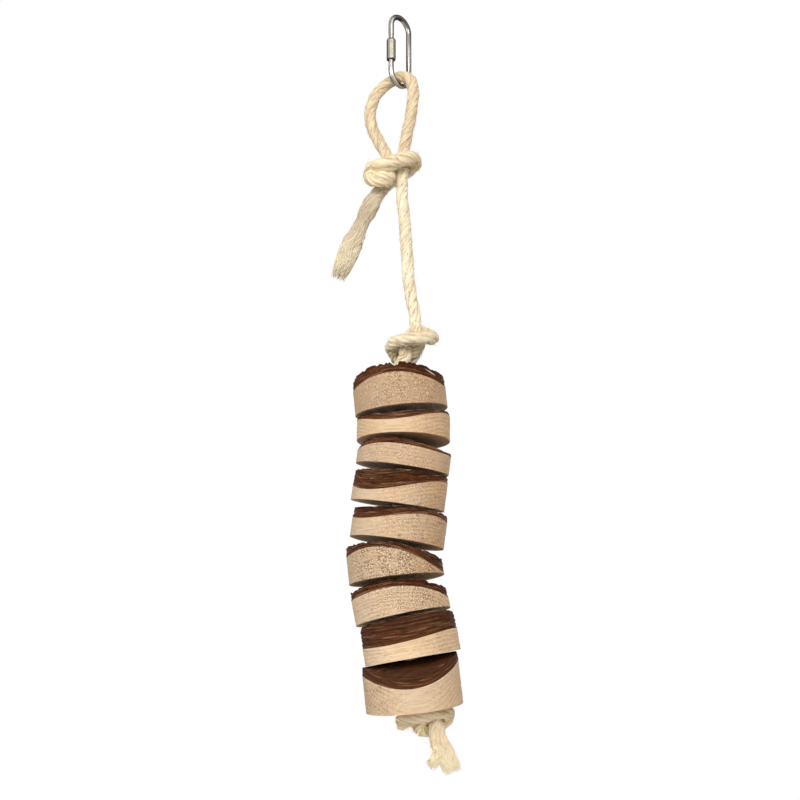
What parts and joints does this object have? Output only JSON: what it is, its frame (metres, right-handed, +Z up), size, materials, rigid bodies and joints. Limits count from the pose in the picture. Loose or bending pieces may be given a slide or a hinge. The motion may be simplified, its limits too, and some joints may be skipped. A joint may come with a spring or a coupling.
{
  "type": "bird kebab chew toy",
  "caption": "Hanging chew toy for birds: bark-topped round wood slices strung on a knotted sisal rope with frayed ends, under a steel quick link with a sleeve nut.",
  "frame": {"origin": "inside top of the quick link, where the bar or hook carries the toy", "axes": "+Z up along the hanging toy, +X to the right and -Y towards the viewer of the picture"},
  "size_m": [0.0653, 0.0495, 0.4049],
  "materials": {
    "link_steel": "plated steel wire",
    "nut_steel": "plated steel, slightly yellow",
    "sisal": "undyed three-strand sisal",
    "wood": "raw sawn softwood",
    "bark": "natural furrowed bark"
  },
  "bodies": {
    "link": {"quick_link": "link_steel"},
    "nut": {"quick_link_nut": "nut_steel"},
    "loop": {"rope_loop": "sisal", "loop_knot": "sisal", "loop_tail": "sisal"},
    "cord": {"hanging_cord": "sisal"},
    "stack": {"top_stopper_knot": "sisal", "core_rope": "sisal", "bottom_stopper_knot": "sisal", "bottom_tail": "sisal"},
    "slice_1": {"slice_1_wood": "wood", "slice_1_bark": "bark"},
    "slice_2": {"slice_2_wood": "wood", "slice_2_bark": "bark"},
    "slice_3": {"slice_3_wood": "wood", "slice_3_bark": "bark"},
    "slice_4": {"slice_4_wood": "wood", "slice_4_bark": "bark"},
    "slice_5": {"slice_5_wood": "wood", "slice_5_bark": "bark"},
    "slice_6": {"slice_6_wood": "wood", "slice_6_bark": "bark"},
    "slice_7": {"slice_7_wood": "wood", "slice_7_bark": "bark"},
    "slice_8": {"slice_8_wood": "wood", "slice_8_bark": "bark"},
    "slice_9": {"slice_9_wood": "wood", "slice_9_bark": "bark"}
  },
  "joints": [
    {"name": "nut_slide", "type": "slide", "parent": "link", "child": "nut", "axis": [0, 0, 1], "range_m": [0, 0.0085]},
    {"name": "loop_swing", "type": "hinge", "parent": "link", "child": "loop", "pos_m": [0, 0, -0.0395], "axis": [0.6691, 0.7431, 0], "range_deg": [-60, 60]},
    {"name": "cord_bend", "type": "hinge", "parent": "loop", "child": "cord", "pos_m": [0.0011, 0, -0.104], "axis": [-0.7431, 0.6691, 0], "range_deg": [-45, 45]},
    {"name": "stack_spin", "type": "hinge", "parent": "cord", "child": "stack", "pos_m": [0.00795, -0.00105, -0.174], "axis": [0, 0, 1], "continuous": true},
    {"name": "slice_1_turn", "type": "hinge", "parent": "stack", "child": "slice_1", "pos_m": [0.0008, 0.0004, -0.2234], "axis": [-0.0993, -0.0419, 0.9942], "continuous": true},
    {"name": "slice_2_turn", "type": "hinge", "parent": "stack", "child": "slice_2", "pos_m": [0.0017, 0, -0.23901], "axis": [0.0105, 0.0105, 0.9999], "range_deg": [-25, 25]},
    {"name": "slice_3_turn", "type": "hinge", "parent": "stack", "child": "slice_3", "pos_m": [0.0011, 0.0004, -0.25344], "axis": [0.1374, -0.0698, 0.9881], "range_deg": [-15, 15]},
    {"name": "slice_4_turn", "type": "hinge", "parent": "stack", "child": "slice_4", "pos_m": [-0.0013, 0.0007, -0.27215], "axis": [0.1323, -0.0802, 0.988], "continuous": true},
    {"name": "slice_5_turn", "type": "hinge", "parent": "stack", "child": "slice_5", "pos_m": [-0.0017, 0.0002, -0.29105], "axis": [0.1409, -0.0209, 0.9898], "continuous": true},
    {"name": "slice_6_turn", "type": "hinge", "parent": "stack", "child": "slice_6", "pos_m": [-0.0016, -0.0001, -0.3096], "axis": [-0.1132, 0.0157, 0.9934], "range_deg": [-15, 15]},
    {"name": "slice_7_turn", "type": "hinge", "parent": "stack", "child": "slice_7", "pos_m": [0.0017, -0.0002, -0.32796], "axis": [-0.196, 0.0262, 0.9803], "range_deg": [-30, 30]},
    {"name": "slice_8_turn", "type": "hinge", "parent": "stack", "child": "slice_8", "pos_m": [0.0065, 0.0003, -0.34776], "axis": [-0.1754, -0.0349, 0.9839], "range_deg": [-30, 30]},
    {"name": "slice_9_turn", "type": "hinge", "parent": "stack", "child": "slice_9", "pos_m": [0.0072, 0.0012, -0.37166], "axis": [-0.108, -0.1132, 0.9877], "range_deg": [-10, 10]}
  ]
}
